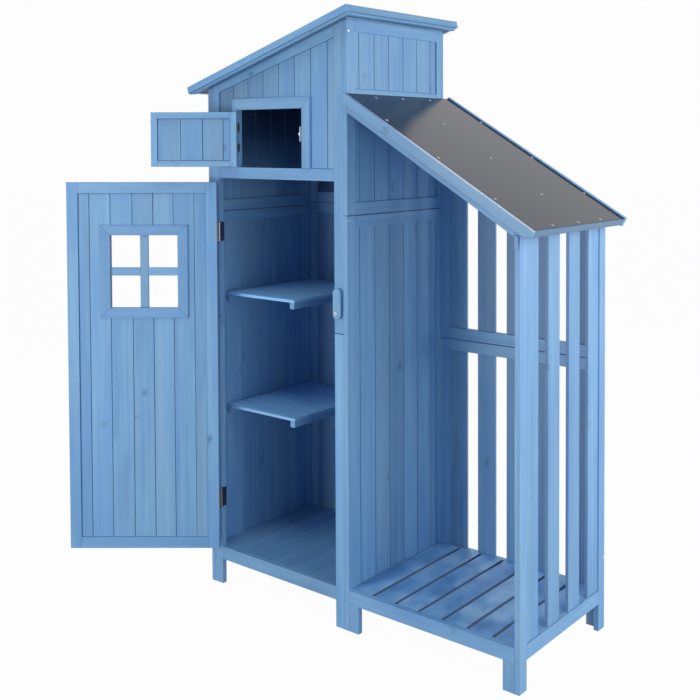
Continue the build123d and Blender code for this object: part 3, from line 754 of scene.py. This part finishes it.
# the little corner block under the beam's low end
blockLeft = storeInner + store["blockInset"]
blockLow = storeZ(blockLeft) - stile * secant - store["blockHang"]
addTimber(mesh, rectangle(blockLeft, blockLeft + store["blockWidth"], blockLow,
                          blockLow + store["blockHeight"]),
          -store["blockOut"], 0, here, edge=store["blockArris"], seam=store["blockSeam"])
endPiece("storeSideFrame", mesh, "shed", "store_side_frame")
mesh = startPiece()
slatStep = (depth - 2 * stile - store["slat"]) / (store["slats"] - 1)
slatNear = (stock - store["slatThick"]) / 2
# the slats' narrow sides take painted shade, the dark between the slats
for i in range(store["slats"]):
    y = stile + slatStep * i
    addTimber(mesh, rectangle(y, y + store["slat"], floorTop, innerTop - stile), slatNear,
              slatNear + store["slatThick"], sidePlace, edge=store["arris"],
              sides=store["slatSides"])
endPiece("storeSideSlats", mesh, "shed", "store_side_slats")

storeBack = Matrix.Translation((0, backFace, 0))
joint, jointTop = store["joint"], store["joint"] + shed["jointRail"]
mesh = startPiece()
addFrame(mesh, storeInner, floorLow, level(joint - crack), floorRail, storeBack, 0)
endPiece("storeBackLowerFrame", mesh, "shed", "store_back_lower_frame")
mesh = startPiece()
addFrame(mesh, storeInner, joint + crack, storeZ, [(joint + crack, jointTop)], storeBack)
addCrack(mesh, storeInner, joint, storeBack)
endPiece("storeBackUpperFrame", mesh, "shed", "store_back_upper_frame")
boardStep = (storeInner - 2 * stile - store["backBoard"]) / (store["backBoards"] - 1)
storeHead = headFoot(storeInner, storeZ, (stile, stile))
for name, low, top in (("Lower", floorTop, level(joint - stile)), ("Upper", jointTop, storeHead)):
    mesh = startPiece()
    for number in range(store["backBoards"]):
        left = stile + boardStep * number
        addTimber(mesh, upright(left, left + store["backBoard"], low, top), recess,
                  recess + shed["board"], storeBack, edge=store["arris"],
                  tone=dice.uniform(*store["backTones"]),
                  faces=(store["backShade"] * number, 0))
    endPiece("storeBack" + name + "Boards", mesh, "shed", "store_back_" + name.lower() + "_boards")

mesh = startPiece()
drop = stile * secant
addTimber(mesh, [(0, storeZ(0) - drop), (storeInner, storeZ(storeInner) - drop),
                 (storeInner, storeZ(storeInner)), (0, storeZ(0))], 0, stock, here, slopeAlong)
endPiece("storeFrontBeam", mesh, "shed", "store_front_beam")

mesh = startPiece()
under = floorTop - store["slatThick"]
addBlock(mesh, 0, storeInner, 0, stock, floorLow, floorTop)
for x in (0, storeInner - store["leg"]):
    addBlock(mesh, x, x + store["leg"], 0, stock, 0, floorLow, "z")
for x in (0, storeInner - stock):
    addBlock(mesh, x, x + stock, stock, backFace, floorLow, under, "y")
addBlock(mesh, stock, storeInner - stock, backFace - 2 * stock, backFace - stock, floorLow, under)
endPiece("storeFloorFrame", mesh, "shed", "store_floor_frame")
mesh = startPiece()
slatWide = (storeInner - (store["floorSlats"] - 1) * store["floorGap"]) / store["floorSlats"]
# the floor slats' narrow sides are dark with painted shade in the gaps
for i in range(store["floorSlats"]):
    left = i * (slatWide + store["floorGap"])
    addTimber(mesh, rectangle(left, left + slatWide, stock, backFace), -floorTop, -under, flat,
              edge=store["floorArris"], tone=dice.uniform(*store["floorTones"]),
              seam=store["floorSeam"], sides=1)
endPiece("storeFloorSlats", mesh, "shed", "store_floor_slats", finish=mottledWood)
print("log store built")

# main door
door = {"gap": 7, "play": 13, "footGap": 6, "headGap": 12, "open": 144, "hingeOut": 5,
        "seams": (-464, -398.5, -334.5, -269, -200, -134)}
window = {"width": 276, "height": 293, "drop": 135, "aside": 6, "trim": 32, "proud": 1,
          "bar": 26, "arris": 0.9, "seam": 0.8, "barArris": 1.2}
doorPlace = swung(jambLeft + door["gap"] / 2, -door["hingeOut"], door["open"])
doorLeft, doorRight = jambLeft + door["gap"], jambRight - door["play"]
doorLow, doorHigh = floorTop + door["footGap"], shed["lintelLow"] - door["headGap"]
winLeft = doorLeft + (doorRight - doorLeft - window["width"]) / 2 - window["aside"]
winRight = winLeft + window["width"]
winTop = doorHigh - window["drop"]
winLow = winTop - window["height"]
openLeft, openRight = winLeft + window["trim"], winRight - window["trim"]
openLow, openTop = winLow + window["trim"], winTop - window["trim"]
boardNear, boardFar = recess, recess + shed["board"]
mesh = startPiece()
addFrame(mesh, doorRight - doorLeft, doorLow, level(doorHigh), [(doorLow, doorLow + stile)],
         doorPlace @ Matrix.Translation((doorLeft, 0, 0)))
endPiece("doorFrame", mesh, "door", "door_frame")
mesh = startPiece()
addBoards(mesh, [doorLeft + stile, *door["seams"], doorRight - stile], doorLow + stile,
          level(doorHigh - stile), doorPlace, (openLeft, openRight, openLow, openTop),
          look="soft")
endPiece("doorBoards", mesh, "door", "door_boards")

# its window: a mitred trim on both sides, then the cross of bars
mesh = startPiece()
outside = rectangle(winLeft, winRight, winLow, winTop)
inside = rectangle(openLeft, openRight, openLow, openTop)
for near, far in ((-window["proud"], boardNear), (boardFar, stock + window["proud"])):
    for i in range(4):
        j = (i + 1) % 4
        addTimber(mesh, [outside[i], outside[j], inside[j], inside[i]], near, far, doorPlace,
                  (1, 0) if i % 2 == 0 else (0, 1), edge=window["arris"], seam=window["seam"])
half = window["bar"] / 2
middleX, middleZ = (winLeft + winRight) / 2, (winLow + winTop) / 2
for outline, along in (
        (rectangle(middleX - half, middleX + half, openLow, openTop), (0, 1)),
        (rectangle(openLeft, middleX - half, middleZ - half, middleZ + half), (1, 0)),
        (rectangle(middleX + half, openRight, middleZ - half, middleZ + half), (1, 0))):
    addTimber(mesh, outline, boardNear, boardFar, doorPlace, along, edge=window["barArris"])
endPiece("doorWindow", mesh, "door", "door_window")
print("door built")

# turn button: a slat with round ends
button = {"length": 89, "width": 27, "thick": 8, "height": 903, "stand": 5, "arris": 1.6,
          "tone": 0.8, "steps": 12}
mesh = startPiece()
centreX = (jambRight + innerRight) / 2
radius = button["width"] / 2
lowEnd, highEnd = button["height"] + radius, button["height"] + button["length"] - radius
outline = []
for centre, start in ((lowEnd, 180), (highEnd, 0)):
    for i in range(button["steps"] + 1):
        angle = math.radians(start + 180 / button["steps"] * i)
        outline.append((centreX + radius * math.cos(angle), centre + radius * math.sin(angle)))
addTimber(mesh, outline, -button["stand"] - button["thick"], -button["stand"], here,
          edge=button["arris"], tone=button["tone"], seam=0.0)
endPiece("turnButton", mesh, "turn_button", "turn_button")

# metal parts that stay as they are in the model
metalParts = {
    "main_roof_sheet": "grey roof sheet", "store_roof_sheet": "grey roof sheet",
    "door_hinge_pins": "hinge metal", "door_hinge_leaves": "hinge metal",
    "hatch_hinges": "dark hinge metal", "hatch_catch": "bright screw metal",
    "turn_button_screw": "roof screw metal",
}
for node, finish in metalParts.items():
    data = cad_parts[node].data
    data.materials.clear()
    data.materials.append(metalFinish[finish])

# screws: domed heads, given by (along the slope, y) on the roofs and (x, y, z) on the frames
screws = {
    "radius": 4.6, "height": 1.8, "sunk": 0.2, "frameRadius": 3.4, "frameHeight": 0.8,
    "sides": 16, "profile": ((1.0, 0.0), (0.97, 0.35), (0.8, 0.7), (0.5, 0.92), (0.3, 1.0),
                             (0.24, 0.62)),
    "store": ((12, 108), (12, 232), (12, 364), (150, 14), (164, 262), (150, 471), (357, 14),
              (367, 250), (367, 471), (567, 14), (563, 248), (574, 471), (704, 102), (704, 236),
              (704, 358)),
    "cabinetAlong": (-640, -480, -320, -160, 10), "cabinetY": (-8, 228, 464),
    "frame": ((0, 9, 1729), (0, 9, 1187), (583, 448, 207)),
}


def addScrew(mesh, place, radius, height):
    # a head on a place whose +Z points out of the surface
    full = toRow @ place
    count = screws["sides"]
    turns = [i * 2 * math.pi / count for i in range(count)]
    rings = []
    for out, up in screws["profile"]:
        points = [Vector((radius * out * math.cos(turn), radius * out * math.sin(turn),
                          height * up)) for turn in turns]
        rings.append([mesh.verts.new(full @ point) for point in points])
    for a, b in zip(rings, rings[1:]):
        for i in range(count):
            j = (i + 1) % count
            mesh.faces.new((a[i], a[j], b[j], b[i]))
    mesh.faces.new(rings[-1])


mesh = startPiece()
cabinetScrews = [(along, y) for along in screws["cabinetAlong"] for y in screws["cabinetY"]]
for place, spots in ((storePlace, screws["store"]), (roofPlace, cabinetScrews)):
    for along, y in spots:
        addScrew(mesh, place @ Matrix.Translation((along, y, sheetTop - screws["sunk"])),
                 screws["radius"], screws["height"])
endPiece("roofScrews", mesh, "shed", finish=metalFinish["roof screw metal"],
         slot="bright_steel")
mesh = startPiece()
for spot in screws["frame"]:
    addScrew(mesh, turned(*spot, 90, "Y"), screws["frameRadius"], screws["frameHeight"])
endPiece("frameScrews", mesh, "shed", finish=metalFinish["bright screw metal"],
         slot="bright_steel")
print("screws set")

# studio, in metres: the floor and the sky look white, and light the shed far less
studio = {
    "floor": (0.5, 0.5, 0.5), "floorWhite": 0.975, "floorRoughness": 0.9, "floorReach": 30,
    "floorDrop": 0.0005, "sky": 0.19, "backdrop": 0.981, "lampSize": 1.4, "aim": (0, 0, 0.8),
    "lamps": (  # name, power, place
        ("leftLamp", 56, (-1.0, -3.5, 0.8)), ("rightLamp", 24, (3.2, -0.3, 2.6)),
        ("topLamp", 38, (0.2, -1.3, 4.2)), ("lowLamp", 29, (3.2, -1.2, 0.6)),
        ("sideLamp", 36, (2.8, 1.6, 1.3)), ("backLamp", 38, (-2.6, 2.4, 2.2))),
}
n = Nodes(bpy.data.materials.new("studio floor"))
n.shader.inputs["Roughness"].default_value = studio["floorRoughness"]
n.shader.inputs["Base Color"].default_value = (*studio["floor"], 1)
white = n.add("ShaderNodeEmission", {"Color": (1, 1, 1, 1), "Strength": 1.0})
amount = n.maths("MULTIPLY", n.seenRay(), studio["floorWhite"])
blend = n.add("ShaderNodeMixShader", {0: amount, 1: n.shader.outputs[0], 2: white.outputs[0]})
n.plug(blend.outputs[0], n.tree.nodes["Material Output"].inputs["Surface"])
data = bpy.data.meshes.new("studioFloor")
reach = studio["floorReach"]
data.from_pydata([(-reach, -reach, 0), (reach, -reach, 0), (reach, reach, 0), (-reach, reach, 0)],
                 [], [(0, 1, 2, 3)])
data.materials.append(n.holder)
ground = bpy.data.objects.new("studioFloor", data)
bpy.context.collection.objects.link(ground)
ground.location.z = -studio["floorDrop"]

world = bpy.data.worlds.new("studio")
bpy.context.scene.world = world
n = Nodes(world)
sky = n.tree.nodes["Background"]
plain = n.add("ShaderNodeBackground")
for node, strength in ((sky, studio["sky"]), (plain, studio["backdrop"])):
    node.inputs["Color"].default_value = (1, 1, 1, 1)
    node.inputs["Strength"].default_value = strength
mixer = n.add("ShaderNodeMixShader", {0: n.seenRay(), 1: sky.outputs[0], 2: plain.outputs[0]})
n.plug(mixer.outputs[0], n.tree.nodes["World Output"].inputs["Surface"])

for name, power, place in studio["lamps"]:
    data = bpy.data.lights.new(name, "AREA")
    data.energy = power
    data.size = studio["lampSize"]
    lamp = bpy.data.objects.new(name, data)
    bpy.context.collection.objects.link(lamp)
    lamp.location = place
    towards = Vector(studio["aim"]) - Vector(place)
    lamp.rotation_euler = towards.to_track_quat("-Z", "Y").to_euler()
    lamp.visible_camera = False

# camera at the photograph's angle, its place in mm; the shift keeps the posts upright
camera = {"place": (1948.41, -2135.10, 1411.82), "yaw": 36.029, "pitch": -1.849, "roll": 0.056,
          "lens": 51.946, "sensor": 36, "shiftX": -0.15638, "shiftY": -0.25049}
data = bpy.data.cameras.new("photoCamera")
data.lens = camera["lens"]
data.sensor_width = camera["sensor"]
data.shift_x = camera["shiftX"]
data.shift_y = camera["shiftY"]
view = bpy.data.objects.new("photoCamera", data)
bpy.context.collection.objects.link(view)
view.location = toRow @ Vector(camera["place"])
view.rotation_euler = [math.radians(angle) for angle in (
    90 + camera["pitch"], camera["roll"], camera["yaw"])]
bpy.context.scene.camera = view
bpy.context.scene.view_settings.view_transform = "Standard"
print("studio and camera set")
